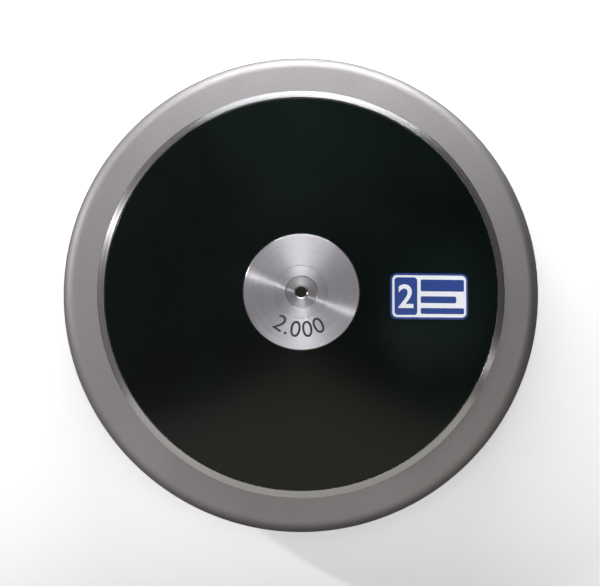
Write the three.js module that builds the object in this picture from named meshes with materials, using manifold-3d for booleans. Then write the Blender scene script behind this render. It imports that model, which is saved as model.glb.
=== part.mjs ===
// A 2 kg throwing discus of the rim-weighted kind, lying on its rear hub face.
// Millimetres, +Z up. The origin is the middle of the rear hub face, and the front faces up.
//
// A turned steel rim carries most of the mass. A plastic side plate closes it on each side and
// sits on a rubber gasket on the rim's web. An aluminium hub plate lies in the middle of each
// side plate, and a socket screw pulls it towards a long nut in the core. A spool round the nut
// carries the steel discs and brass shims that bring the discus to its mass.

import * as THREE from "three";
import { mergeVertices } from "three/addons/utils/BufferGeometryUtils.js";
import Module from "manifold-3d";

const wasm = await Module();
wasm.setup();

const { asin, atan2, cos, hypot, PI, sin, sqrt, tan } = Math;

// Whole discus, as the rules of competition give it
const discusDiameter = 220;
const discusThickness = 45;
const edgeRadius = 6.2;

// Gaps
const slipClearance = 0.3; // round a piece that slips into another
const labelLift = 0.1; // the glue under the label

// Rim
const rimWidth = 16.1; // from the outer edge in to where the matt face meets the polished bevel
const bevelWidth = 3;
const faceTiltDegrees = 8; // the matt face is flatter than the taper, and the bevel climbs back to it
const ledgeWidth = 5.9; // how far the web reaches in past the bore
const webThickness = 8;

// Gaskets
const gasketThickness = 0.8;
const gasketMargin = 0.9; // bare web on each side of the gasket

// Side plates
const plateWall = 3;
const hubSeatThickness = 3.5; // under the hub plate's flange
const plateSink = 0.1; // how far the plate's edge lies below the top of the bevel

// Hub plates
const hubPlateDiameter = 53;
const hubFlangeThickness = 4;
const hubChamfer = 0.4;
const hubFloorThickness = 4.7; // what is left under the screw's head
const spigotWall = 1.4; // round the bore for the screw's head
const boreChamfer = 0.3;

// Centre screws, M8 with a wide flat head
const screwDiameter = 8;
const screwTipGap = 7.2; // between the tips of the two screws
const screwHeadDiameter = 14.6;
const screwHeadHeight = 4.5;
const screwHeadChamfer = 0.2;
const screwSink = 0.3; // how far the head's face lies below the hub's
const socketAcrossFlats = 5;
const socketDepth = 3;

// Core nut and the spool round it
const nutAcrossFlats = 13;
const barrelWall = 2.7; // round the spigot
const spoolFlangeDiameter = 50;
const spoolFlangeThickness = 3;

// Weights, shims and washers on the spool. The weights fill the height that the rest leaves.
const weightsPerSide = 3;
const weightDiameter = 48;
const shimDiameter = 46;
const shimThickness = 0.5;
const washerDiameter = 44;
const washerThickness = 1.6;

// Label, on the front side plate
const labelLength = 36;
const labelWidth = 21;
const labelThickness = 0.2;
const labelCornerRadius = 3;
const labelDrop = 1.7; // how far its middle lies towards -Y from the middle of the plate's width

// Facets round a full turn
const rimSegments = 72;
const hubSegments = 48;
const coreSegments = 32;
const screwSegments = 24;
const edgeSteps = 10;
const cornerSteps = 4;
const hexSides = 6;

// Worked out: the taper runs from the hub's edge and is tangent to the round that makes the rim's edge
const halfThickness = discusThickness / 2;
const hubRadius = hubPlateDiameter / 2;
const edgeCentreRadius = discusDiameter / 2 - edgeRadius;
const taperReach = edgeCentreRadius - hubRadius;
const taperAngle =
  atan2(halfThickness, taperReach) - asin(edgeRadius / hypot(taperReach, halfThickness));
const taperHeight = (radius) => halfThickness - (radius - hubRadius) * tan(taperAngle);

// Worked out: the rim's matt face, which runs into the round edge, and the bevel inside it
const faceTilt = THREE.MathUtils.degToRad(faceTiltDegrees);
const faceEndRadius = edgeCentreRadius + edgeRadius * sin(faceTilt);
const faceEndHeight = edgeRadius * cos(faceTilt);
const bevelOuterRadius = discusDiameter / 2 - rimWidth;
const bevelFootHeight = faceEndHeight + (faceEndRadius - bevelOuterRadius) * tan(faceTilt);
const rimBoreRadius = bevelOuterRadius - bevelWidth;
const bevelTopHeight = taperHeight(rimBoreRadius);
const webInnerRadius = rimBoreRadius - ledgeWidth;
const webHeight = webThickness / 2;

// Worked out: where the side plate's top runs, from the hub's edge to the top of the bevel
const plateSeatHeight = webHeight + gasketThickness;
const plateOuterRadius = rimBoreRadius - slipClearance;
const plateInnerRadius = hubRadius + slipClearance;
const plateEdgeHeight = bevelTopHeight - plateSink;
const plateCrownHeight = halfThickness - hubChamfer;
const plateSlope = (plateCrownHeight - plateEdgeHeight) / (plateOuterRadius - plateInnerRadius);
const plateTopHeight = (radius) => plateCrownHeight - (radius - plateInnerRadius) * plateSlope;

// Worked out: the hub, its screw and the core, as heights above the discus's middle plane
const flangeSeatHeight = halfThickness - hubFlangeThickness;
const screwTopHeight = halfThickness - screwSink;
const screwSeatHeight = screwTopHeight - screwHeadHeight;
const spigotEndHeight = screwSeatHeight - hubFloorThickness;
const screwHoleRadius = screwDiameter / 2 + slipClearance;
const headHoleRadius = screwHeadDiameter / 2 + slipClearance;
const spigotRadius = headHoleRadius + spigotWall;
const spigotHoleRadius = spigotRadius + slipClearance;
const barrelRadius = spigotHoleRadius + barrelWall;
const weightHoleRadius = barrelRadius + slipClearance;
const coreHeight = flangeSeatHeight - hubSeatThickness;
const shimSeatHeight = spoolFlangeThickness / 2;
const weightSeatHeight = shimSeatHeight + shimThickness;
const washerSeatHeight = coreHeight - washerThickness;
const weightThickness = (washerSeatHeight - weightSeatHeight) / weightsPerSide;

// Turns an outline of [radius, height] points round the Z axis. The points run anticlockwise, so
// that the faces point outwards. Side -1 mirrors the outline to the rear half of the discus.
function turned(outline, segments, side = 1) {
  const run = side > 0 ? outline : outline.map(([radius, height]) => [radius, -height]).reverse();
  const closed = run[0][0] > 0 ? [...run, run[0]] : run;
  const points = closed.map(([radius, height]) => new THREE.Vector2(radius, height));
  return new THREE.LatheGeometry(points, segments).rotateX(PI / 2);
}

// A flat ring between two heights.
function ring(innerRadius, outerRadius, bottom, top, segments, side) {
  const outline = [
    [innerRadius, bottom],
    [outerRadius, bottom],
    [outerRadius, top],
    [innerRadius, top],
  ];
  return turned(outline, segments, side);
}

// A hexagonal bar along Z with flats at the top and the bottom of the front view.
function hexBar(acrossFlats, bottom, top) {
  const cornerRadius = acrossFlats / sqrt(hexSides / 2);
  const bar = new THREE.CylinderGeometry(cornerRadius, cornerRadius, top - bottom, hexSides);
  return bar.rotateX(PI / 2).rotateZ(PI / hexSides).translate(0, 0, (bottom + top) / 2);
}

// A manifold-3d solid from a closed three.js geometry.
function solid(geometry) {
  const bare = geometry.clone();
  bare.deleteAttribute("normal");
  bare.deleteAttribute("uv");
  const merged = mergeVertices(bare);
  const corners = Array.from(merged.index.array);
  const kept = [];
  for (let i = 0; i < corners.length; i += 3) {
    const [a, b, c] = corners.slice(i, i + 3);
    if (a !== b && b !== c && c !== a) kept.push(a, b, c);
  }
  return new wasm.Manifold(
    new wasm.Mesh({
      numProp: 3,
      vertProperties: merged.attributes.position.array,
      triVerts: new Uint32Array(kept),
    }),
  );
}

// A three.js geometry from a manifold-3d solid.
function geometryOf(body) {
  const { vertProperties, triVerts } = body.getMesh();
  const geometry = new THREE.BufferGeometry();
  geometry.setAttribute("position", new THREE.BufferAttribute(vertProperties, 3));
  geometry.setIndex(new THREE.BufferAttribute(triVerts, 1));
  geometry.computeVertexNormals();
  return geometry;
}

const cut = (geometry, tool) => geometryOf(solid(geometry).subtract(solid(tool)));
const common = (geometry, tool) => geometryOf(solid(geometry).intersect(solid(tool)));

// Steel rim: a rounded edge, a tapered face and an inner bevel on each side, and a web to seat the plates.
function rim() {
  const upper = [];
  for (let step = 0; step <= edgeSteps; step += 1) {
    const angle = (PI / 2 - faceTilt) * ((2 * step) / edgeSteps - 1);
    upper.push([edgeCentreRadius + edgeRadius * cos(angle), edgeRadius * sin(angle)]);
  }
  const outline = [
    [webInnerRadius, -webHeight],
    [rimBoreRadius, -webHeight],
    [rimBoreRadius, -bevelTopHeight],
    [bevelOuterRadius, -bevelFootHeight],
    ...upper,
    [bevelOuterRadius, bevelFootHeight],
    [rimBoreRadius, bevelTopHeight],
    [rimBoreRadius, webHeight],
    [webInnerRadius, webHeight],
  ];
  return turned(outline, rimSegments);
}

// Rubber ring on the rim's web, under the edge of a side plate.
function gasket(side) {
  const inner = webInnerRadius + gasketMargin;
  const outer = rimBoreRadius - gasketMargin;
  return ring(inner, outer, webHeight, plateSeatHeight, hubSegments, side);
}

// Moulded side plate: a shallow cone with a flat lip at its edge and a sunk seat for the hub.
function sidePlate(side) {
  const seatOuterRadius = plateInnerRadius + plateWall;
  const wallHeight = plateWall * sqrt(1 + plateSlope ** 2);
  const outline = [
    [spigotHoleRadius, coreHeight],
    [seatOuterRadius, coreHeight],
    [seatOuterRadius, plateTopHeight(seatOuterRadius) - wallHeight],
    [webInnerRadius, plateSeatHeight],
    [plateOuterRadius, plateSeatHeight],
    [plateOuterRadius, plateEdgeHeight],
    [plateInnerRadius, plateCrownHeight],
    [plateInnerRadius, flangeSeatHeight],
    [spigotHoleRadius, flangeSeatHeight],
  ];
  return turned(outline, rimSegments, side);
}

// Turned aluminium hub plate: a flange in the side plate's seat, a spigot into the core, and a bore
// that takes the screw's head.
function hubPlate(side) {
  const outline = [
    [screwHoleRadius, spigotEndHeight],
    [spigotRadius, spigotEndHeight],
    [spigotRadius, flangeSeatHeight],
    [hubRadius, flangeSeatHeight],
    [hubRadius, halfThickness - hubChamfer],
    [hubRadius - hubChamfer, halfThickness],
    [headHoleRadius + boreChamfer, halfThickness],
    [headHoleRadius, halfThickness - boreChamfer],
    [headHoleRadius, screwSeatHeight],
    [screwHoleRadius, screwSeatHeight],
  ];
  return turned(outline, hubSegments, side);
}

// Socket screw that pulls a hub plate towards the core nut.
function centreScrew(side) {
  const headRadius = screwHeadDiameter / 2;
  const outline = [
    [0, screwTipGap / 2],
    [screwDiameter / 2, screwTipGap / 2],
    [screwDiameter / 2, screwSeatHeight],
    [headRadius, screwSeatHeight],
    [headRadius, screwTopHeight - screwHeadChamfer],
    [headRadius - screwHeadChamfer, screwTopHeight],
    [0, screwTopHeight],
  ];
  const socketFloor = side * (screwTopHeight - socketDepth);
  const socketMouth = side * (screwTopHeight + socketDepth);
  const [bottom, top] = [socketFloor, socketMouth].sort((low, high) => low - high);
  return cut(turned(outline, screwSegments, side), hexBar(socketAcrossFlats, bottom, top));
}

// Long nut between the two spigots. Both screws go into its thread, which is left as a plain hole.
function coreNut() {
  const hole = new THREE.CylinderGeometry(
    screwHoleRadius,
    screwHoleRadius,
    2 * discusThickness,
    screwSegments,
  ).rotateX(PI / 2);
  return cut(hexBar(nutAcrossFlats, -spigotEndHeight, spigotEndHeight), hole);
}

// Plastic spool that keeps the nut from turning and carries the weights on both sides of its flange.
function coreSpool() {
  const barrelHeight = coreHeight - slipClearance;
  const pocketHeight = spigotEndHeight - slipClearance;
  const upper = [
    [spoolFlangeDiameter / 2, shimSeatHeight],
    [barrelRadius, shimSeatHeight],
    [barrelRadius, barrelHeight],
    [spigotHoleRadius, barrelHeight],
    [spigotHoleRadius, pocketHeight],
    [0, pocketHeight],
  ];
  const lower = upper.map(([radius, height]) => [radius, -height]).reverse();
  const bore = hexBar(nutAcrossFlats + 2 * slipClearance, -discusThickness, discusThickness);
  return cut(turned([...lower, ...upper], coreSegments), bore);
}

// Brass shim against the spool's flange, for the last few grams.
function trimShim(side) {
  const outer = shimDiameter / 2;
  return ring(weightHoleRadius, outer, shimSeatHeight, weightSeatHeight, coreSegments, side);
}

// Steel disc on the spool: number 0 lies next to the shim.
function weightDisc(number, side) {
  const bottom = weightSeatHeight + number * weightThickness;
  const top = weightSeatHeight + (number + 1) * weightThickness;
  return ring(weightHoleRadius, weightDiameter / 2, bottom, top, coreSegments, side);
}

// Rubber washer between the last disc and the side plate's seat.
function washer(side) {
  const outer = washerDiameter / 2;
  return ring(weightHoleRadius, outer, washerSeatHeight, coreHeight, coreSegments, side);
}

// Plain label that follows the side plate's cone, with rounded corners.
function label() {
  const halfLength = labelLength / 2 - labelCornerRadius;
  const halfWidth = labelWidth / 2 - labelCornerRadius;
  const outline = new THREE.Shape();
  outline.absarc(halfLength, halfWidth, labelCornerRadius, 0, PI / 2);
  outline.absarc(-halfLength, halfWidth, labelCornerRadius, PI / 2, PI);
  outline.absarc(-halfLength, -halfWidth, labelCornerRadius, PI, (3 * PI) / 2);
  outline.absarc(halfLength, -halfWidth, labelCornerRadius, (3 * PI) / 2, 2 * PI);
  const block = new THREE.ExtrudeGeometry(outline, {
    depth: discusThickness,
    bevelEnabled: false,
    curveSegments: cornerSteps,
  }).translate((plateInnerRadius + plateOuterRadius) / 2, -labelDrop, 0);
  const onPlate = (radius, lift) => [radius, plateTopHeight(radius) + lift];
  const film = [
    onPlate(plateInnerRadius, labelLift),
    onPlate(plateOuterRadius, labelLift),
    onPlate(plateOuterRadius, labelLift + labelThickness),
    onPlate(plateInnerRadius, labelLift + labelThickness),
  ];
  return common(turned(film, rimSegments), block);
}

const finish = (color, roughness, metalness) =>
  new THREE.MeshStandardMaterial({ color, roughness, metalness });

const rimSteel = finish(0x9a9896, 0.5, 1);
const platePlastic = finish(0x0d1513, 0.25, 0);
const hubAluminium = finish(0xb4b3b6, 0.3, 1);
const screwSteel = finish(0x77777a, 0.4, 1);
const nutSteel = finish(0x8b8a86, 0.45, 1);
const spoolPlastic = finish(0xd9d6cc, 0.6, 0);
const weightSteel = finish(0x6e6f72, 0.5, 1);
const shimBrass = finish(0xb08d4a, 0.35, 1);
const sealRubber = finish(0x1b1b1b, 0.85, 0);
const labelFilm = finish(0xe9edf2, 0.35, 0);

const discus = new THREE.Group();
discus.position.z = halfThickness;

function add(name, geometry, material) {
  const mesh = new THREE.Mesh(geometry, material);
  mesh.name = name;
  discus.add(mesh);
}

add("rim", rim(), rimSteel);
add("core_nut", coreNut(), nutSteel);
add("core_spool", coreSpool(), spoolPlastic);

["front", "rear"].forEach((end, index) => {
  const side = index === 0 ? 1 : -1;
  add(`${end}_gasket`, gasket(side), sealRubber);
  add(`${end}_side_plate`, sidePlate(side), platePlastic);
  add(`${end}_hub_plate`, hubPlate(side), hubAluminium);
  add(`${end}_centre_screw`, centreScrew(side), screwSteel);
  add(`${end}_washer`, washer(side), sealRubber);
  add(`trim_shim_${index + 1}`, trimShim(side), shimBrass);
  for (let number = 0; number < weightsPerSide; number += 1) {
    const name = `weight_disc_${index * weightsPerSide + number + 1}`;
    add(name, weightDisc(number, side), weightSteel);
  }
});

add("label", label(), labelFilm);

export default discus;
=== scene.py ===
# %% [markdown]
# # A throwing discus, dressed around its CAD model
# The CAD model holds every piece at its real size. Here it is a fixed frame: nothing in it is
# moved, and each piece made below takes its place and its main sizes from it. A discus is a
# turned object, so nearly everything is an outline spun round one axis, and the work goes into
# small rounded edges, finishes and light.

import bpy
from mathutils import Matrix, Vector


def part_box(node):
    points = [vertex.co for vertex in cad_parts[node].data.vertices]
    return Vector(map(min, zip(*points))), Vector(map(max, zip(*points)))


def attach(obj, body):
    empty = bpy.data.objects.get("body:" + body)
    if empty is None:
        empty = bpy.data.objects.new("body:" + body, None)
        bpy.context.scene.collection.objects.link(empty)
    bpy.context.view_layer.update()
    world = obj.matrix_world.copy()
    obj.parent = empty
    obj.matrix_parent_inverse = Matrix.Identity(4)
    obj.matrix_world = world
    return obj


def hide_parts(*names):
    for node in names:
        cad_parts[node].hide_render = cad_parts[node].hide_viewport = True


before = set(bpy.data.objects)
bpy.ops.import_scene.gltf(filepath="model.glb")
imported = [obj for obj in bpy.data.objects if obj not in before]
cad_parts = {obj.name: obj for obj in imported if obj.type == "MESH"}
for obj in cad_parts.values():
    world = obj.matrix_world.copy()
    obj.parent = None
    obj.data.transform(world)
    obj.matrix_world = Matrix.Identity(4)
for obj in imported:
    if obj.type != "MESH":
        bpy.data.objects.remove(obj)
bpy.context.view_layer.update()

# %% [markdown]
# ## Blender's own modules
# `bmesh` shapes the meshes, `bpy` makes objects, materials and lights, and `mathutils` brings the
# vectors and matrices that put things in their place.

# %% Bring in the modules
import math

import bmesh
import bpy
from mathutils import Matrix, Vector

print("Blender", bpy.app.version_string)

# %% [markdown]
# ## What the frame tells
# A piece's box gives its outer radius and its top. Heights are kept above the middle plane of
# the discus, because its front and its rear are twins, and `middle` lifts them to their place.

# %% Measure the CAD pieces
mm = 0.001
rim_low, rim_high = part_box("rim")
plate_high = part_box("front_side_plate")[1]
hub_low, hub_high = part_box("front_hub_plate")
screw_low, screw_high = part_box("front_centre_screw")
seal_low, seal_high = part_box("front_gasket")
label_low, label_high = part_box("label")
middle = (rim_low.z + rim_high.z) / 2
discus_radius = rim_high.x
half_thickness = hub_high.z - middle
bevel_top = rim_high.z - middle
plate_radius = plate_high.x
crown_height = plate_high.z - middle
hub_radius = hub_high.x
print(f"discus {2 * discus_radius / mm:.0f} mm across, {2 * half_thickness / mm:.0f} mm thick")

# %% [markdown]
# ## Turning an outline
# A lathe makes a ring from an outline, and so does Blender's spin operator. The outline starts
# with sharp corners, as on a drawing. A vertex bevel then rounds the corners that the real piece
# has rounded: no real edge is perfectly sharp, and the thin line of light that runs along a
# rounded edge is what makes metal look like metal. A full spin leaves a double row of points,
# which are merged before the normals are worked out again. A piece for the rear is made like its
# twin at the front, and then turned over.

# %% Spin an outline round the axis
turns = 256
weld_distance = 0.001 * mm


def weld(shape):
    """Merges the points that lie in one place, and turns all faces outwards."""
    bmesh.ops.remove_doubles(shape, verts=shape.verts[:], dist=weld_distance)
    bmesh.ops.recalc_face_normals(shape, faces=shape.faces[:])


def set_in_place(shape, side):
    """Turns the shape to the rear if side is -1, and lifts it to the middle plane's height."""
    if side < 0:
        half_turn = Matrix.Rotation(math.pi, 3, "X")
        bmesh.ops.rotate(shape, cent=(0, 0, 0), matrix=half_turn, verts=shape.verts[:])
    bmesh.ops.translate(shape, vec=(0, 0, middle), verts=shape.verts[:])


def turned(outline, rounds, side=1):
    """A mesh from an outline of (radius, height). Rounds holds, for a corner's number, the length
    that its round takes of each edge, and its steps."""
    shape = bmesh.new()
    corners = [shape.verts.new((radius, 0, height)) for radius, height in outline]
    closed = outline[0][0] > 0
    ends = corners[1:] + corners[:1] if closed else corners[1:]
    for start, end in zip(corners, ends):
        shape.edges.new((start, end))
    for number, (length, steps) in rounds.items():
        bmesh.ops.bevel(
            shape, geom=[corners[number]], offset=length, segments=steps,
            profile=0.5, affect="VERTICES", material=-1,
        )
    bmesh.ops.spin(
        shape, geom=shape.verts[:] + shape.edges[:], cent=(0, 0, 0), axis=(0, 0, 1),
        angle=2 * math.pi, steps=turns, use_merge=True,
    )
    weld(shape)
    set_in_place(shape, side)
    return shape


print("an outline is spun in", turns, "steps")

# %% [markdown]
# ## From a mesh to a piece
# Each finished piece rides on the frame's only body and hides the CAD node that it stands for.
# Smooth shading alone would smear light over the wide flats beside a small round. A Weighted
# Normal modifier lets the widest face decide, so that flats stay flat and only the rounds turn the
# light.

# %% Make a piece of the discus
sharp_angle = math.radians(40)


def piece(name, shape, materials, slot, *replaced):
    """A finished piece from a bmesh, which is used up."""
    mesh = bpy.data.meshes.new(name)
    shape.to_mesh(mesh)
    shape.free()
    for material in materials:
        mesh.materials.append(material)
    mesh.shade_smooth()
    mesh.set_sharp_from_angle(angle=sharp_angle)
    made = bpy.data.objects.new(name, mesh)
    bpy.context.scene.collection.objects.link(made)
    flats = made.modifiers.new("flats_stay_flat", "WEIGHTED_NORMAL")
    flats.keep_sharp = True
    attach(made, "root")
    if replaced:
        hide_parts(*replaced)
    print(f"{name}: {len(mesh.polygons)} faces")


# %% [markdown]
# ## Building materials from nodes
# A few small helpers keep the node code readable. One adds a node and fills in its inputs. The
# others are the steps that nearly every pattern takes: sums with numbers or vectors, noise, and a
# ramp that turns one span of values into another.


# %% Node helpers
def add(tree, kind, inputs=None, **settings):
    """A new node. An input is joined to a socket, or set to a plain value."""
    node = tree.nodes.new(kind)
    for name, value in settings.items():
        setattr(node, name, value)
    for name, value in (inputs or {}).items():
        if isinstance(value, bpy.types.NodeSocket):
            tree.links.new(value, node.inputs[name])
        else:
            node.inputs[name].default_value = value
    return node


def math_step(tree, operation, *values):
    return add(tree, "ShaderNodeMath", dict(enumerate(values)), operation=operation).outputs[0]


def vector_step(tree, operation, *vectors):
    step = add(tree, "ShaderNodeVectorMath", dict(enumerate(vectors)), operation=operation)
    return step.outputs["Value" if operation == "LENGTH" else "Vector"]


def scaled(tree, vector, factor):
    """A vector or a colour times a factor."""
    return add(
        tree, "ShaderNodeVectorMath", {0: vector, "Scale": factor}, operation="SCALE"
    ).outputs["Vector"]


def noise(tree, place, scale, detail, distortion=0.0):
    inputs = {"Vector": place, "Scale": scale, "Detail": detail, "Distortion": distortion}
    return add(tree, "ShaderNodeTexNoise", inputs).outputs["Fac"]


def ramp(tree, value, start, end, low=0.0, high=1.0):
    """Low up to the start, high from the end on, and an even change between them."""
    inputs = {"Value": value, "From Min": start, "From Max": end, "To Min": low, "To Max": high}
    return add(tree, "ShaderNodeMapRange", inputs).outputs["Result"]


def new_group(name, inputs, outputs):
    """An empty node group, and the two nodes that its inputs and outputs are joined to."""
    tree = bpy.data.node_groups.new(name, "ShaderNodeTree")
    for title, value in inputs.items():
        socket = tree.interface.new_socket(title, in_out="INPUT", socket_type="NodeSocketFloat")
        socket.default_value = value
    for title in outputs:
        tree.interface.new_socket(title, in_out="OUTPUT", socket_type="NodeSocketFloat")
    return tree, add(tree, "NodeGroupInput"), add(tree, "NodeGroupOutput")


# %% [markdown]
# ## Turning marks
# These are the fine rings that a lathe's tool leaves. Drawn as an image they would blur close up,
# so the pattern is noise read along the radius. The direction round the axis, as a sine and a
# cosine, breaks the rings up a little and has no seam. The tone changes in wider rings than the
# height does. This effect and the next two are node groups, because several materials share them.


# %% Turning marks
def out_from_axis(tree):
    """Each point's place, flattened onto the middle plane: a line straight out from the axis."""
    place = add(tree, "ShaderNodeTexCoord").outputs["Object"]
    return vector_step(tree, "MULTIPLY", place, (1, 1, 0))


marks, marks_in, marks_out = new_group(
    "turning_marks", {"Rings per mm": 4.0, "Breakup": 2.0}, ["Height", "Tone"]
)
tone_pace = 0.11
outwards = out_from_axis(marks)
reach = vector_step(marks, "LENGTH", outwards)
heading = vector_step(marks, "NORMALIZE", outwards)
bent = add(
    marks, "ShaderNodeSeparateXYZ", {0: scaled(marks, heading, marks_in.outputs["Breakup"])}
).outputs
rings_per_metre = math_step(marks, "MULTIPLY", marks_in.outputs["Rings per mm"], 1 / mm)
along = math_step(marks, "MULTIPLY", reach, rings_per_metre)
groove = add(
    marks, "ShaderNodeCombineXYZ", {0: bent["X"], 1: bent["Y"], 2: along}
).outputs["Vector"]
wide_ring = vector_step(marks, "MULTIPLY", groove, (1, 1, tone_pace))
marks.links.new(noise(marks, groove, 1.0, 2.0), marks_out.inputs["Height"])
marks.links.new(noise(marks, wide_ring, 1.0, 3.0), marks_out.inputs["Tone"])
print("turning_marks:", len(marks.nodes), "nodes")

# %% [markdown]
# ## Grain
# Blasted steel and moulded plastic have a tiny roughness. It comes in two sizes, a fine one for
# the height and a coarser one for the tone, on top of slow patches that handling brings.

# %% Grain
grain, grain_in, grain_out = new_group(
    "grain", {"Grains per mm": 3.0, "Patches per metre": 25.0}, ["Height", "Tone", "Patches"]
)
speckle_pace = 0.3
place = add(grain, "ShaderNodeTexCoord").outputs["Object"]
grains_per_metre = math_step(grain, "MULTIPLY", grain_in.outputs["Grains per mm"], 1 / mm)
speckles_per_metre = math_step(grain, "MULTIPLY", grains_per_metre, speckle_pace)
patches_per_metre = grain_in.outputs["Patches per metre"]
grain.links.new(noise(grain, place, grains_per_metre, 2.0), grain_out.inputs["Height"])
grain.links.new(noise(grain, place, speckles_per_metre, 3.0), grain_out.inputs["Tone"])
grain.links.new(noise(grain, place, patches_per_metre, 4.0, 0.4), grain_out.inputs["Patches"])
print("grain:", len(grain.nodes), "nodes")

# %% [markdown]
# ## Handling marks
# Hairline scratches and specks of dust are what use leaves on a hard surface. The scratches are
# the borders of large, bent cells, and a noise keeps only short stretches of them. The specks are
# the middles of small cells.

# %% Handling marks
handling, handling_in, handling_out = new_group(
    "handling_marks", {"Cells per metre": 60.0, "Line width": 0.006}, ["Scratches", "Dust"]
)
bends_per_metre = 22.0
bend_length = 0.02
stretches_per_metre = 45.0
specks_per_metre = 420.0
place = add(handling, "ShaderNodeTexCoord").outputs["Object"]
bend = add(
    handling, "ShaderNodeTexNoise", {"Vector": place, "Scale": bends_per_metre, "Detail": 1.0}
).outputs["Color"]
curved = vector_step(handling, "ADD", place, scaled(handling, bend, bend_length))
borders = add(
    handling, "ShaderNodeTexVoronoi",
    {"Vector": curved, "Scale": handling_in.outputs["Cells per metre"]},
    feature="DISTANCE_TO_EDGE",
).outputs["Distance"]
lines = ramp(handling, borders, 0.0, handling_in.outputs["Line width"], 1.0, 0.0)
stretches = ramp(handling, noise(handling, place, stretches_per_metre, 2.0), 0.56, 0.66)
scratches = math_step(handling, "MULTIPLY", lines, stretches)
specks = add(
    handling, "ShaderNodeTexVoronoi", {"Vector": place, "Scale": specks_per_metre}
).outputs["Distance"]
dust = ramp(handling, specks, 0.05, 0.1, 1.0, 0.0)
handling.links.new(scratches, handling_out.inputs["Scratches"])
handling.links.new(dust, handling_out.inputs["Dust"])
print("handling_marks:", len(handling.nodes), "nodes")


# %% [markdown]
# ## Ready-made steps inside a material
# Every recipe below starts from the Principled shader and places the groups in it with values of
# its own. One step squeezes a pattern into a narrow span round one value, such as a roughness of
# 0.3 give or take 0.03. Another turns a height pattern into a normal, with a real depth in metres.


# %% Steps that materials repeat
def new_material(name):
    material = bpy.data.materials.new(name)
    material.use_nodes = True
    tree = material.node_tree
    shader = tree.nodes["Principled BSDF"]
    return material, tree, shader


def effect(tree, group, **values):
    """A node group placed in a material, with its own values."""
    node = add(tree, "ShaderNodeGroup", node_tree=group)
    for name, value in values.items():
        node.inputs[name.replace("_", " ")].default_value = value
    return node


def spread(tree, pattern, low, high):
    """The pattern's usual values, 0.3 to 0.7, spread from low to high."""
    return ramp(tree, pattern, 0.3, 0.7, low, high)


def bump(tree, height, depth):
    return add(tree, "ShaderNodeBump", {"Height": height, "Distance": depth}).outputs["Normal"]


# %% [markdown]
# ## Turned metal
# A lathe leaves grooves that run round the axis, so the metal is rough across them and smooth
# along them. That is what pulls a highlight out into a fan or a streak from the middle of the
# hub. The shader's anisotropy does the same. It says how different the two roughnesses are, and
# the tangent says which way the rougher one points: across the grooves, so out from the axis.
# The fans meet a millimetre below the hub's middle, as they do where a piece ran a little out of
# true in the lathe, and the tangent follows that. Bump adds the few rings that the eye can see.
# Bareness is how much of the surface is bare metal: the bevel wears a thin dull film.

# %% Turned metal
lathe_runout = (0, -1.05 * mm, 0)
ring_breakup = 1.5
roughness_span = 0.03
scratch_dulling = 0.12


def across_grooves(tree):
    """The direction at each point that crosses the lathe's grooves."""
    out = vector_step(tree, "SUBTRACT", out_from_axis(tree), lathe_runout)
    return vector_step(tree, "NORMALIZE", out)


def turned_metal(
    name, color, roughness, anisotropy, rings_per_mm, groove_depth, tone_span, bareness=1.0
):
    material, tree, shader = new_material(name)
    lathe = effect(tree, marks, Rings_per_mm=rings_per_mm, Breakup=ring_breakup)
    wear = effect(tree, handling)
    tone = spread(tree, lathe.outputs["Tone"], 1 - tone_span, 1 + tone_span)
    shine = spread(
        tree, lathe.outputs["Tone"], roughness - roughness_span, roughness + roughness_span
    )
    dulled = math_step(tree, "MULTIPLY_ADD", wear.outputs["Scratches"], scratch_dulling, shine)
    shader.inputs["Metallic"].default_value = bareness
    shader.inputs["Anisotropic"].default_value = anisotropy
    tree.links.new(scaled(tree, color, tone), shader.inputs["Base Color"])
    tree.links.new(dulled, shader.inputs["Roughness"])
    tree.links.new(bump(tree, lathe.outputs["Height"], groove_depth), shader.inputs["Normal"])
    tree.links.new(across_grooves(tree), shader.inputs["Tangent"])
    return material


hub_aluminium = turned_metal(
    "hub_aluminium", (0.88, 0.865, 0.905), roughness=0.34, anisotropy=1.0,
    rings_per_mm=5.0, groove_depth=0.004 * mm, tone_span=0.06,
)
bevel_steel = turned_metal(
    "bevel_steel", (0.585, 0.575, 0.57), roughness=0.25, anisotropy=0.6,
    rings_per_mm=6.0, groove_depth=0.004 * mm, tone_span=0.08, bareness=0.87,
)
screw_steel = turned_metal(
    "screw_steel", (0.66, 0.64, 0.66), roughness=0.35, anisotropy=1.0,
    rings_per_mm=6.0, groove_depth=0.003 * mm, tone_span=0.06,
)
print("turned metals:", hub_aluminium.name, bevel_steel.name, screw_steel.name)


# %% [markdown]
# ## Blasted steel
# The rim's face and edge are grey and matt, because they were blasted with fine grit. The grain is
# too small to see from a step away, so most of it is roughness, with a light bump for close views
# and a slow change of tone where hands have polished it. Hands hold the rim by its round edge, so
# beyond a given radius the steel grows smoother. There its colour is also a little darker, a
# painted shade that tones down the round edge's highlight.

# %% Blasted metal
speckle_span = 0.035
patch_span = 0.04
scratch_polish = 0.1
edge_fade = 1.5 * mm
held_polish = 0.07
edge_darkening = 0.1
edge_width = 4.6 * mm


def edge_share(tree, radius):
    """0 within a radius, rising to 1 over a short way beyond it."""
    reach = vector_step(tree, "LENGTH", out_from_axis(tree))
    return ramp(tree, reach, radius, radius + edge_fade)


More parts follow.
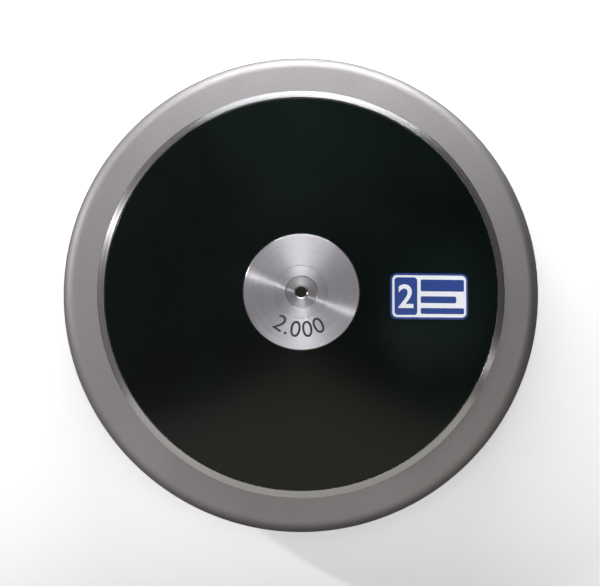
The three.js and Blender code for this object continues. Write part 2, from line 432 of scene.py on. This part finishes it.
def blasted_metal(name, color, roughness, grains_per_mm, grain_depth, edge_beyond=None):
    material, tree, shader = new_material(name)
    grit = effect(tree, grain, Grains_per_mm=grains_per_mm, Patches_per_metre=22.0)
    wear = effect(tree, handling, Cells_per_metre=45.0)
    speckled = spread(tree, grit.outputs["Tone"], 1 - speckle_span, 1 + speckle_span)
    patched = spread(tree, grit.outputs["Patches"], 1 - patch_span, 1 + patch_span)
    tone = math_step(tree, "MULTIPLY", speckled, patched)
    shine = spread(
        tree, grit.outputs["Patches"], roughness + roughness_span, roughness - roughness_span
    )
    rubbed = math_step(tree, "MULTIPLY_ADD", wear.outputs["Scratches"], -scratch_polish, shine)
    if edge_beyond:
        held = edge_share(tree, edge_beyond)
        rubbed = math_step(tree, "MULTIPLY_ADD", held, -held_polish, rubbed)
        # Painted shade: the round edge is darkened to tone down its highlight.
        darker = math_step(tree, "MULTIPLY_ADD", held, -edge_darkening, 1)
        tone = math_step(tree, "MULTIPLY", tone, darker)
    shader.inputs["Metallic"].default_value = 1.0
    tree.links.new(scaled(tree, color, tone), shader.inputs["Base Color"])
    tree.links.new(rubbed, shader.inputs["Roughness"])
    tree.links.new(bump(tree, grit.outputs["Height"], grain_depth), shader.inputs["Normal"])
    return material


rim_steel = blasted_metal(
    "rim_steel", (0.6, 0.57, 0.57), roughness=0.7, grains_per_mm=3.0, grain_depth=0.012 * mm,
    edge_beyond=discus_radius - edge_width,
)
print("blasted metal:", rim_steel.name)


# %% [markdown]
# ## Plastic and rubber
# The side plates are moulded in a glossy plastic that looks black until light falls on it, when it
# turns bottle green. Its skin isn't quite flat: a slow waviness and a fine peel soften what it
# reflects. Its glints are a little yellow, and its tone is mottled. Fingers and grass leave a few
# hairlines and specks of dust. The same recipe, rougher and in other colours, serves the rubber
# rings, the spool and the label.

# %% Moulded plastic
skin_polish = 0.02
skin_dulling = 0.03
hairline_dulling = 0.15


def moulded(
    name, color, roughness, grains_per_mm, grain_depth, dust_color, dust_amount,
    gloss=0.5, glint_color=(1, 1, 1), mottling=0.2,
):
    material, tree, shader = new_material(name)
    shader.inputs["Specular IOR Level"].default_value = gloss
    shader.inputs["Specular Tint"].default_value = (*glint_color, 1)
    skin = effect(tree, grain, Grains_per_mm=grains_per_mm, Patches_per_metre=18.0)
    wear = effect(tree, handling)
    tone = spread(tree, skin.outputs["Patches"], 1 - mottling, 1 + mottling)
    specks = math_step(tree, "MULTIPLY", wear.outputs["Dust"], dust_amount)
    dusty = add(
        tree, "ShaderNodeMix",
        {"Factor": specks, "A": scaled(tree, color, tone), "B": (*dust_color, 1)},
        data_type="RGBA",
    )
    shine = spread(
        tree, skin.outputs["Patches"], roughness - skin_polish, roughness + skin_dulling
    )
    scuffed = math_step(tree, "MULTIPLY_ADD", wear.outputs["Scratches"], hairline_dulling, shine)
    tree.links.new(dusty.outputs["Result"], shader.inputs["Base Color"])
    tree.links.new(scuffed, shader.inputs["Roughness"])
    tree.links.new(bump(tree, skin.outputs["Height"], grain_depth), shader.inputs["Normal"])
    return material


plate_plastic = moulded(
    "plate_plastic", (0.0026, 0.0072, 0.0068), roughness=0.2, grains_per_mm=1.2,
    grain_depth=0.004 * mm, dust_color=(0.2, 0.2, 0.18), dust_amount=0.05,
    gloss=0.42, glint_color=(0.98, 1, 0.82), mottling=0.45,
)
print("moulded:", plate_plastic.name)

# %% [markdown]
# ## The rim
# The rim is one steel ring. From the middle outwards it has a web that the side plates rest on, a
# bore, a narrow bevel that falls outwards and is polished, a matt face that is a little flatter,
# and a round edge that fits the hand.

# %% Draw the rim's outline
slip = 0.3 * mm
web_inner_radius = 85 * mm
web_height = seal_low.z - middle
bore_radius = plate_radius + slip
bevel_width = 3 * mm
edge_radius = 6.2 * mm
face_tilt = math.radians(8)
edge_centre = discus_radius - edge_radius
face_end = (edge_centre + edge_radius * math.sin(face_tilt), edge_radius * math.cos(face_tilt))
bevel_foot = bore_radius + bevel_width
foot_height = face_end[1] + (face_end[0] - bevel_foot) * math.tan(face_tilt)
corner_height = face_end[1] - (discus_radius - face_end[0]) * math.tan(face_tilt)
upper_half = [
    (web_inner_radius, web_height),
    (bore_radius, web_height),
    (bore_radius, bevel_top),
    (bevel_foot, foot_height),
    (discus_radius, corner_height),
]
lower_half = [(radius, -height) for radius, height in reversed(upper_half)]
print(f"bevel foot at {bevel_foot / mm:.1f} mm, height {foot_height / mm:.2f} mm")

# %% [markdown]
# The round edge is made by two wide bevels that all but meet on the middle plane. The faces of the
# bevel and of all that lies within the bore are polished, and the rest is blasted.

# %% Spin the rim
web_round = (0.5 * mm, 2)
bevel_round = (0.12 * mm, 3)
foot_round = (0.1 * mm, 2)
edge_round = (corner_height - 0.01 * mm, 16)
rim_rounds = {
    0: web_round, 2: bevel_round, 3: foot_round, 4: edge_round,
    5: edge_round, 6: foot_round, 7: bevel_round, 9: web_round,
}
clear_of_web = web_height + 1 * mm
bevel_reach = bevel_foot + 0.05 * mm
rim_shape = turned(upper_half + lower_half, rim_rounds)
for face in rim_shape.faces:
    face_middle = face.calc_center_median()
    radius = math.hypot(face_middle.x, face_middle.y)
    on_bevel = abs(face_middle.z - middle) > clear_of_web and radius < bevel_reach
    face.material_index = 1 if on_bevel or radius < bore_radius else 0
piece("rim_ring", rim_shape, [rim_steel, bevel_steel], "rim_steel", "rim")

# %% [markdown]
# ## The side plates
# A side plate is a shallow cone. Its lip drops onto a rubber ring on the rim's web, and its middle
# is a sunk seat for the hub. A narrow gap stays open all round between the plate and the bevel,
# and the lip's rounded edge catches a thin line of light beside it.

# %% Spin both side plates
spigot_wall = 1.4 * mm
spigot_radius = screw_high.x + slip + spigot_wall
plate_wall = 3 * mm
plate_sink = 0.1 * mm
hub_flange_thickness = 4 * mm
hub_seat_thickness = 3.5 * mm
plate_inner_radius = hub_radius + slip
plate_edge_height = bevel_top - plate_sink
plate_slope = (crown_height - plate_edge_height) / (plate_radius - plate_inner_radius)
seat_radius = plate_inner_radius + plate_wall
seat_height = half_thickness - hub_flange_thickness
seat_underside = seat_height - hub_seat_thickness
wall_height = plate_wall * math.hypot(1, plate_slope)


def plate_top(radius):
    return crown_height - (radius - plate_inner_radius) * plate_slope


plate_outline = [
    (spigot_radius + slip, seat_underside),
    (seat_radius, seat_underside),
    (seat_radius, plate_top(seat_radius) - wall_height),
    (web_inner_radius, seal_high.z - middle),
    (plate_radius, seal_high.z - middle),
    (plate_radius, plate_edge_height),
    (plate_inner_radius, crown_height),
    (plate_inner_radius, seat_height),
    (spigot_radius + slip, seat_height),
]
inside_round = (1 * mm, 3)
lip_round = (0.45 * mm, 4)
crown_round = (0.15 * mm, 2)
plate_rounds = {2: inside_round, 3: inside_round, 5: lip_round, 6: crown_round}
for end, side in (("front", 1), ("rear", -1)):
    piece(
        f"{end}_plate", turned(plate_outline, plate_rounds, side), [plate_plastic],
        "plate_plastic", f"{end}_side_plate",
    )

# %% [markdown]
# ## The hub plates
# The hub plate is a flat turned face with a bore in its middle, which the screw's head nearly
# fills: only a thin dark gap sets the two apart. About half-way out, one fine line is turned into
# the face.

# %% Draw the hub plate's outline
spigot_end = hub_low.z - middle
shank_radius = 4 * mm
screw_head_height = 4.5 * mm
head_gap = 0.1 * mm
screw_top = screw_high.z - middle
screw_seat = screw_top - screw_head_height
head_hole = screw_high.x + head_gap
line_radius = 12.1 * mm
line_width = 0.6 * mm
line_depth = 0.15 * mm
hub_outline = [
    (shank_radius + slip, spigot_end),
    (spigot_radius, spigot_end),
    (spigot_radius, seat_height),
    (hub_radius, seat_height),
    (hub_radius, half_thickness),
    (line_radius + line_width / 2, half_thickness),
    (line_radius, half_thickness - line_depth),
    (line_radius - line_width / 2, half_thickness),
    (head_hole, half_thickness),
    (head_hole, screw_seat),
    (shank_radius + slip, screw_seat),
]
spigot_round = (0.3 * mm, 2)
rim_round = (0.4 * mm, 4)
bore_round = (0.15 * mm, 3)
hub_rounds = {1: spigot_round, 4: rim_round, 8: bore_round}
print(f"hub {2 * hub_radius / mm:.0f} mm across, its bore {2 * head_hole / mm:.1f} mm")

# %% [markdown]
# ## The stamped number
# The number in the lower half of the hub's face is stamped. The stamp is cut with a Boolean
# modifier whose cutter is a row of digits. Cut with real depth, the number keeps its shadow and
# its bright edges from every side, and the cut is also painted nearly black, as painted shade.

# %% Lay out the stamped number
stamp_radius = 17 * mm
digit_height = 7.4 * mm
height_per_size = 0.7
stamp_depth = 0.45 * mm
stamp_places = {"2": -34, ".": -21.5, "0a": -9, "0b": 9, "0c": 27}


def stamp_cutter(side):
    """One mesh of thick digits along the hub's lower arc, sunk into its face."""
    cutter = bmesh.new()
    for name, degrees in stamp_places.items():
        text = bpy.data.curves.new("digit", "FONT")
        text.body = name[0]
        text.size = digit_height / height_per_size
        text.align_x = "CENTER"
        text.extrude = stamp_depth
        text.resolution_u = 6
        holder = bpy.data.objects.new("digit", text)
        letter = bpy.data.meshes.new_from_object(holder)
        turn = Matrix.Rotation(math.radians(degrees), 4, "Z")
        shift = Matrix.Translation((0, -stamp_radius - digit_height / 2, half_thickness))
        letter.transform(turn @ shift)
        cutter.from_mesh(letter)
        bpy.data.objects.remove(holder)
        bpy.data.curves.remove(text)
        bpy.data.meshes.remove(letter)
    weld(cutter)
    set_in_place(cutter, side)
    return cutter


print("stamped number:", "".join(name[0] for name in stamp_places))


# %% [markdown]
# ## Cutting
# The Boolean is worked out once and kept as a plain mesh. The walls and floor of the cut take the
# cutter's material, which is darker and rougher than the turned face. In the stamped number and in
# the screw's socket that darkness is painted shade in the cut.


# %% Cut one shape out of another
def carved(shape, cutter, base_material, cut_material):
    """The shape less the cutter, as a new bmesh."""
    holders = []
    for name, part, material in (
        ("block", shape, base_material), ("cutter", cutter, cut_material)
    ):
        mesh = bpy.data.meshes.new(name)
        part.to_mesh(mesh)
        part.free()
        mesh.materials.append(material)
        holder = bpy.data.objects.new(name, mesh)
        bpy.context.scene.collection.objects.link(holder)
        holders.append(holder)
    block, tool = holders
    block.data.materials.append(cut_material)
    cut = block.modifiers.new("cut", "BOOLEAN")
    cut.object = tool
    cut.operation = "DIFFERENCE"
    cut.solver = "EXACT"
    cut.material_mode = "TRANSFER"
    result = bmesh.new()
    result.from_object(block, bpy.context.evaluated_depsgraph_get())
    for holder in holders:
        mesh = holder.data
        bpy.data.objects.remove(holder)
        bpy.data.meshes.remove(mesh)
    return result


# %% [markdown]
# The hub plates are spun, and the number is stamped into the face of each. The rear one is the
# front one turned over, number and all.

# %% Stamp the hub plates
# Painted shade: the stamp's walls and floor are painted nearly black, as shade in the cut.
stamp_shade_aluminium = blasted_metal(
    "stamp_shade_aluminium", (0.14, 0.13, 0.13), roughness=0.4, grains_per_mm=4.0,
    grain_depth=0.01 * mm,
)
for end, side in (("front", 1), ("rear", -1)):
    hub_shape = carved(
        turned(hub_outline, hub_rounds, side), stamp_cutter(side),
        hub_aluminium, stamp_shade_aluminium,
    )
    piece(
        f"{end}_hub", hub_shape, [hub_aluminium, stamp_shade_aluminium], "hub_aluminium",
        f"{end}_hub_plate",
    )

# %% [markdown]
# ## The centre screws
# A socket screw with a wide flat head closes the middle of each hub. Its hexagonal socket is a
# six-sided prism with a shallow cone below it, as a drill leaves. The prism has flats at the top
# and the bottom. A short cone round the mouth guides the key in, and makes the hole look round.
# The cone was turned with the head, so it is as bright as the head, while the walls and floor of
# the socket are painted nearly black: painted shade in the hole.

# %% Spin the screws and cut their sockets
head_radius = screw_high.x
socket_across_flats = 5 * mm
socket_depth = 3 * mm
drill_inset = 0.1 * mm
drill_depth = 0.9 * mm
mouth_radius = 3.1 * mm
mouth_depth = 0.3 * mm
screw_outline = [
    (0, screw_low.z - middle),
    (shank_radius, screw_low.z - middle),
    (shank_radius, screw_seat),
    (head_radius, screw_seat),
    (head_radius, screw_top),
    (0, screw_top),
]
tip_round = (0.8 * mm, 2)
head_round = (0.2 * mm, 3)
screw_rounds = {1: tip_round, 4: head_round}


def socket_cutter(side):
    """The hexagonal prism, its drilled end and, as a second solid, the cone round the mouth."""
    cutter = bmesh.new()
    corner_radius = socket_across_flats / math.sqrt(3)
    bmesh.ops.create_cone(
        cutter, cap_ends=True, segments=6, radius1=corner_radius, radius2=corner_radius,
        depth=2 * socket_depth, matrix=Matrix.Translation((0, 0, screw_top)),
    )
    cutter_end = min(cutter.faces, key=lambda face: face.calc_center_median().z)
    bmesh.ops.inset_individual(cutter, faces=[cutter_end], thickness=drill_inset)
    tip = bmesh.ops.poke(cutter, faces=[cutter_end])["verts"]
    bmesh.ops.translate(cutter, vec=(0, 0, -drill_depth), verts=tip)
    turn = Matrix.Rotation(math.pi / 6, 3, "Z")
    bmesh.ops.rotate(cutter, cent=(0, 0, 0), matrix=turn, verts=cutter.verts[:])
    bmesh.ops.create_cone(
        cutter, cap_ends=True, segments=64, radius1=mouth_radius - 2 * mouth_depth,
        radius2=mouth_radius + mouth_depth, depth=3 * mouth_depth,
        matrix=Matrix.Translation((0, 0, screw_top - mouth_depth / 2)),
    )
    set_in_place(cutter, side)
    return cutter


# Painted shade: the socket's walls and floor are painted nearly black, as shade in the hole.
socket_shade_steel = blasted_metal(
    "socket_shade_steel", (0.062, 0.06, 0.044), roughness=0.45, grains_per_mm=4.0,
    grain_depth=0.01 * mm,
)
for end, side in (("front", 1), ("rear", -1)):
    screw_shape = carved(
        turned(screw_outline, screw_rounds, side), socket_cutter(side), screw_steel, socket_shade_steel
    )
    for face in screw_shape.faces:
        height = side * (face.calc_center_median().z - middle)
        if screw_top - mouth_depth < height < screw_top:
            face.material_index = 0
    piece(
        f"{end}_screw", screw_shape, [screw_steel, socket_shade_steel], "screw_steel",
        f"{end}_centre_screw",
    )

# %% [markdown]
# ## The label
# The label is a thin film glued to the front plate. It is drawn flat, cut across in many places so
# that it can bend, and then laid on the plate's cone: each point is lifted by the cone's height at
# its distance from the axis. The lift leaves room for the glue.

# %% Lay a flat shape on the plate
bend_cuts = 24


def laid_on_plate(shape, lift, thickness):
    """Cuts a flat shape across, gives it a thickness and lays it on the plate's cone."""
    low_x, high_x = label_low.x, label_high.x
    low_y, high_y = label_low.y, label_high.y
    for number in range(1, bend_cuts):
        share = number / bend_cuts
        for point, normal in (
            ((low_x + (high_x - low_x) * share, 0, 0), (1, 0, 0)),
            ((0, low_y + (high_y - low_y) * share, 0), (0, 1, 0)),
        ):
            everything = shape.verts[:] + shape.edges[:] + shape.faces[:]
            bmesh.ops.bisect_plane(shape, geom=everything, plane_co=point, plane_no=normal)
    grown = bmesh.ops.extrude_face_region(shape, geom=shape.faces[:])
    raised = [part for part in grown["geom"] if isinstance(part, bmesh.types.BMVert)]
    bmesh.ops.translate(shape, vec=(0, 0, thickness), verts=raised)
    for vertex in shape.verts:
        radius = math.hypot(vertex.co.x, vertex.co.y)
        vertex.co.z += middle + plate_top(radius) + lift
    weld(shape)
    return shape


def flat_patch(low, high, corner):
    """A flat rectangle between two corners, with its own corners rounded."""
    shape = bmesh.new()
    size = Vector(high) - Vector(low)
    centre = (Vector(high) + Vector(low)) / 2
    place = Matrix.Translation((*centre, 0)) @ Matrix.Diagonal((*size, 1, 1))
    bmesh.ops.create_grid(shape, x_segments=1, y_segments=1, size=0.5, matrix=place)
    bmesh.ops.bevel(
        shape, geom=shape.verts[:], offset=corner, segments=6, profile=0.5,
        affect="VERTICES", material=-1,
    )
    return shape


print("a label is cut across", bend_cuts - 1, "times each way")

# %% [markdown]
# The film is a pale plastic with a faint sheen, and the ink is a plain blue. Both are given as a
# screen shows them, in steps of 0 to 255, and are turned into the linear values that Blender
# counts in.


# %% Cut the film
def screen(red, green, blue):
    """A linear colour from screen values of 0 to 255."""
    def linear(value):
        share = value / 255
        return share / 12.92 if share <= 0.04045 else ((share + 0.055) / 1.055) ** 2.4

    return (linear(red), linear(green), linear(blue))


label_film = moulded(
    "label_film", screen(240, 242, 246), roughness=0.32, grains_per_mm=2.0,
    grain_depth=0.002 * mm, dust_color=(0.4, 0.4, 0.38), dust_amount=0.2,
)
label_ink = moulded(
    "label_ink", screen(44, 70, 142), roughness=0.34, grains_per_mm=2.0,
    grain_depth=0.002 * mm, dust_color=(0.3, 0.3, 0.32), dust_amount=0.1,
)
glue_thickness = 0.1 * mm
film_thickness = 0.2 * mm
label_corner = 3 * mm
film_corners = ((label_low.x, label_low.y), (label_high.x, label_high.y))
piece(
    "label_sticker",
    laid_on_plate(flat_patch(*film_corners, label_corner), glue_thickness, film_thickness),
    [label_film], "label_film", "label",
)

# %% [markdown]
# What is printed on the film is plain: a frame, a block with a numeral, and stripes. Each is a
# very thin piece of its own on the film, so that its borders stay sharp however near one looks.

# %% Print the frame, the block and the stripes
ink_lift = glue_thickness + film_thickness
ink_thickness = 0.02 * mm
border = 0.9 * mm
margin = 1 * mm
block_width = 11.5 * mm
block_corner = 1.5 * mm
stripe_gap = 1.6 * mm
stripe_corner = 0.6 * mm
inner_low = (label_low.x + border, label_low.y + border)
inner_high = (label_high.x - border, label_high.y - border)
inner_height = inner_high[1] - inner_low[1]


def print_on_film(name, shape):
    piece(name, laid_on_plate(shape, ink_lift, ink_thickness), [label_ink], "label_film")


frame_shape = flat_patch(*film_corners, label_corner)
frame_faces = bmesh.ops.inset_region(
    frame_shape, faces=frame_shape.faces[:], thickness=border, use_boundary=True
)["faces"]
inner_faces = [face for face in frame_shape.faces if face not in frame_faces]
bmesh.ops.delete(frame_shape, geom=inner_faces, context="FACES")
print_on_film("label_frame", frame_shape)

block_low = (inner_low[0] + margin, inner_low[1] + margin)
block_high = (inner_low[0] + block_width, inner_high[1] - margin)
print_on_film("label_block", flat_patch(block_low, block_high, block_corner))

stripe_shares = {"wide": (0.62, 0.9, 1.0), "middle": (0.34, 0.5, 0.82), "low": (0.08, 0.22, 1.0)}
stripes_left = block_high[0] + stripe_gap
stripes_right = inner_high[0] - margin
for name, (low_share, high_share, length_share) in stripe_shares.items():
    stripe_low = (stripes_left, inner_low[1] + inner_height * low_share)
    stripe_high = (
        stripes_left + (stripes_right - stripes_left) * length_share,
        inner_low[1] + inner_height * high_share,
    )
    print_on_film(f"label_stripe_{name}", flat_patch(stripe_low, stripe_high, stripe_corner))

# %% [markdown]
# The numeral is left white in print. Here it is film laid over the block, drawn from Blender's
# own letters and made a little bolder.

# %% Print the numeral
numeral_size = 15 * mm
numeral_boldness = 0.25 * mm
numeral_drop = 5.2 * mm
numeral = bpy.data.curves.new("numeral", "FONT")
numeral.body = "2"
numeral.size = numeral_size
numeral.align_x = "CENTER"
numeral.offset = numeral_boldness
numeral_holder = bpy.data.objects.new("numeral", numeral)
numeral_mesh = bpy.data.meshes.new_from_object(numeral_holder)
block_middle = (block_low[0] + block_high[0]) / 2
label_middle = (label_low.y + label_high.y) / 2
numeral_mesh.transform(Matrix.Translation((block_middle, label_middle - numeral_drop, 0)))
numeral_shape = bmesh.new()
numeral_shape.from_mesh(numeral_mesh)
piece(
    "label_numeral", laid_on_plate(numeral_shape, ink_lift + ink_thickness, ink_thickness),
    [label_film], "label_film",
)
bpy.data.objects.remove(numeral_holder)
bpy.data.curves.remove(numeral)
bpy.data.meshes.remove(numeral_mesh)

# %% [markdown]
# ## What is sealed inside
# The core is never seen, but a part that is opened should still look right. Those pieces keep
# their CAD shape and get materials from the recipes above.

# %% Give the inner pieces their finish
seal_rubber = moulded(
    "seal_rubber", (0.02, 0.02, 0.02), roughness=0.7, grains_per_mm=2.5,
    grain_depth=0.02 * mm, dust_color=(0.2, 0.2, 0.2), dust_amount=0.3,
)
spool_plastic = moulded(
    "spool_plastic", (0.66, 0.64, 0.58), roughness=0.5, grains_per_mm=2.0,
    grain_depth=0.01 * mm, dust_color=(0.4, 0.38, 0.34), dust_amount=0.2,
)
nut_steel = turned_metal(
    "nut_steel", (0.5, 0.49, 0.46), roughness=0.36, anisotropy=0.3,
    rings_per_mm=4.0, groove_depth=0.004 * mm, tone_span=0.08,
)
weight_steel = blasted_metal(
    "weight_steel", (0.3, 0.3, 0.31), roughness=0.5, grains_per_mm=2.0, grain_depth=0.02 * mm
)
shim_brass = turned_metal(
    "shim_brass", (0.6, 0.42, 0.18), roughness=0.3, anisotropy=0.4,
    rings_per_mm=4.0, groove_depth=0.003 * mm, tone_span=0.06,
)
inner_finishes = {
    "gasket": seal_rubber, "washer": seal_rubber, "core_spool": spool_plastic,
    "core_nut": nut_steel, "weight_disc": weight_steel, "trim_shim": shim_brass,
}
for name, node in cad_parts.items():
    for word, material in inner_finishes.items():
        if word in name:
            node.data.materials.clear()
            node.data.materials.append(material)
print("inner finishes:", len(inner_finishes))

# %% [markdown]
# ## The floor
# Metal shows what stands round it, so its look is mostly a matter of what it reflects. The floor
# looks like white paper to the camera, yet stays dim in reflections: a Light Path node tells the
# two apart. It lies a hair below the discus, because two faces in one plane flicker.

# %% Lay the floor
floor_drop = 0.05 * mm
floor_reach = 4.0
paper_seen = (1.6, 1.6, 1.6, 1)
paper_mirrored = (0.25, 0.25, 0.25, 1)
paper_glow = 0.38
floor_mesh = bpy.data.meshes.new("studio_floor")
floor_shape = bmesh.new()
bmesh.ops.create_grid(floor_shape, x_segments=1, y_segments=1, size=floor_reach)
floor_shape.to_mesh(floor_mesh)
floor_shape.free()
floor = bpy.data.objects.new("studio_floor", floor_mesh)
floor.location.z = -floor_drop
bpy.context.scene.collection.objects.link(floor)
floor_material = bpy.data.materials.new("studio_floor")
floor_material.use_nodes = True
tree = floor_material.node_tree
tree.nodes.remove(tree.nodes["Principled BSDF"])
seen = add(tree, "ShaderNodeLightPath").outputs["Is Camera Ray"]
paper = add(tree, "ShaderNodeBsdfDiffuse", {"Color": paper_seen}).outputs[0]
glow = add(
    tree, "ShaderNodeEmission", {"Color": (1, 1, 1, 1), "Strength": paper_glow}
).outputs[0]
bright_paper = add(tree, "ShaderNodeAddShader", {0: paper, 1: glow}).outputs[0]
dim_paper = add(tree, "ShaderNodeBsdfDiffuse", {"Color": paper_mirrored}).outputs[0]
shown = add(tree, "ShaderNodeMixShader", {0: seen, 1: dim_paper, 2: bright_paper}).outputs[0]
tree.links.new(shown, tree.nodes["Material Output"].inputs["Surface"])
floor_mesh.materials.append(floor_material)
print("floor:", floor_drop / mm, "mm below the discus")

# %% [markdown]
# ## The room
# The room is white to the camera too. What the metal mirrors of it is a faint glow, cool on the
# left, weaker and warmer on the right, which gives the discus's two sides their different greys.

# %% Light the room
world = bpy.data.worlds.new("studio")
bpy.context.scene.world = world
world.use_nodes = True
tree = world.node_tree
direction = add(tree, "ShaderNodeTexCoord").outputs["Generated"]
sideways = add(tree, "ShaderNodeSeparateXYZ", {0: direction}).outputs["X"]
share = ramp(tree, sideways, -0.7, 0.7)
left_glow = (0.142, 0.132, 0.156, 1)
right_glow = (0.033, 0.03, 0.025, 1)
glow = add(
    tree, "ShaderNodeMix", {"Factor": share, "A": left_glow, "B": right_glow}, data_type="RGBA"
).outputs["Result"]
seen = add(tree, "ShaderNodeLightPath").outputs["Is Camera Ray"]
backdrop = add(
    tree, "ShaderNodeMix", {"Factor": seen, "A": glow, "B": (1, 1, 1, 1)}, data_type="RGBA"
).outputs["Result"]
tree.links.new(backdrop, tree.nodes["Background"].inputs["Color"])
print("room:", len(tree.nodes), "nodes")


# %% [markdown]
# ## The lights
# Each light is an even rectangle that the camera doesn't see. Its brightness is given as what a
# mirror would show of it, so it can change its size and still look as bright in the metal. A strip
# beyond the top of the picture brightens the rim's upper half, and a standing card near the lower
# edge gives the plate its pale lower fan. Soft lights nearly overhead fill the hub's face. A small
# lamp low on the left draws the bright streak across the hub, and a weak one answers it from the
# right.

# %% Hang the lights
centre = Vector((0, 0, middle))
cool = (0.97, 1, 1.03)
warm = (1, 0.99, 0.93)
card_height = 0.196


def soft_light(name, place, width, height, radiance, color=(1, 1, 1), aim=centre):
    light = bpy.data.lights.new(name, "AREA")
    light.shape = "RECTANGLE"
    light.size = width
    light.size_y = height
    light.energy = radiance * width * height * math.pi
    light.color = color
    lamp = bpy.data.objects.new(name, light)
    bpy.context.scene.collection.objects.link(lamp)
    lamp.location = place
    lamp.rotation_euler = (Vector(aim) - Vector(place)).to_track_quat("-Z", "Y").to_euler()
    lamp.visible_camera = False
    print(f"{name}: {light.energy:.2f} W")


def seen_at(heading, tilt, distance=1.5):
    """A place above the discus, by its compass heading from +X and its tilt from upright."""
    flat = math.sin(math.radians(tilt))
    across = math.radians(heading)
    return centre + distance * Vector(
        (math.cos(across) * flat, math.sin(across) * flat, math.cos(math.radians(tilt)))
    )


soft_light("light_above", seen_at(90, 11), width=0.1, height=0.4, radiance=4.4)
soft_light("front_wide", seen_at(120, 5), width=0.42, height=0.42, radiance=0.4)
soft_light("light_before", seen_at(-90, 67), width=0.6, height=0.4, radiance=0.3)
soft_light(
    "strip_beyond", centre + Vector((0.022, 0.32, 0.084)), width=0.38, height=0.06,
    radiance=14.0, color=cool,
)
soft_light(
    "card_below", (0, -0.15, card_height), width=0.55, height=0.258,
    radiance=0.48, color=warm, aim=(0, 0, card_height),
)
soft_light("lamp_left", seen_at(156.9, 72.5), width=0.05, height=0.12, radiance=375)
soft_light("lamp_right", seen_at(-17, 52), width=0.05, height=0.12, radiance=10)

# %% [markdown]
# ## A spot for the label
# White film in a dim room looks grey. A narrow spot that falls on the label alone lifts it to
# white, and leaves the dark plate round it as it is.

# %% Aim the spot
spot_place = Vector((0.35, -0.55, 0.76))
label_centre = (label_low + label_high) / 2
spot = bpy.data.lights.new("label_spot", "SPOT")
spot.energy = 26
spot.spot_size = math.radians(3.4)
spot.spot_blend = 0.5
spot.shadow_soft_size = 0.01
holder = bpy.data.objects.new("label_spot", spot)
bpy.context.scene.collection.objects.link(holder)
holder.location = label_centre + spot_place
holder.rotation_euler = (label_centre - holder.location).to_track_quat("-Z", "Y").to_euler()
print("label_spot:", spot.energy, "W")

# %% [markdown]
# ## The camera
# The camera looks down on the discus from nearly straight above, through a long lens that keeps
# the rim's circle round. It leans a few degrees towards the discus's lower edge and a little to
# the left, so that the high hub sits slightly off the rim's middle, as it does in the photograph.
# The discus's +Y points up in the picture.

# %% Set up the camera
camera_distance = 1.3
sensor_width = 36
focal_length = 168.2
lean_down = math.radians(2.75)
lean_left = math.radians(0.4)
aim = centre + Vector((-0.46 * mm, 0.575 * mm, 0))
camera_data = bpy.data.cameras.new("camera")
camera_data.sensor_width = sensor_width
camera_data.lens = focal_length
camera = bpy.data.objects.new("camera", camera_data)
bpy.context.scene.collection.objects.link(camera)
bpy.context.scene.camera = camera
back = Vector((-math.sin(lean_left), -math.sin(lean_down), math.cos(lean_down))).normalized()
right = Vector((0, 1, 0)).cross(back).normalized()
up = back.cross(right)
turned_to_aim = Matrix((right, up, back)).transposed().to_4x4()
camera.matrix_world = Matrix.Translation(aim + back * camera_distance) @ turned_to_aim
bpy.context.scene.view_settings.view_transform = "Standard"
print("camera at", [round(value, 3) for value in camera.location])
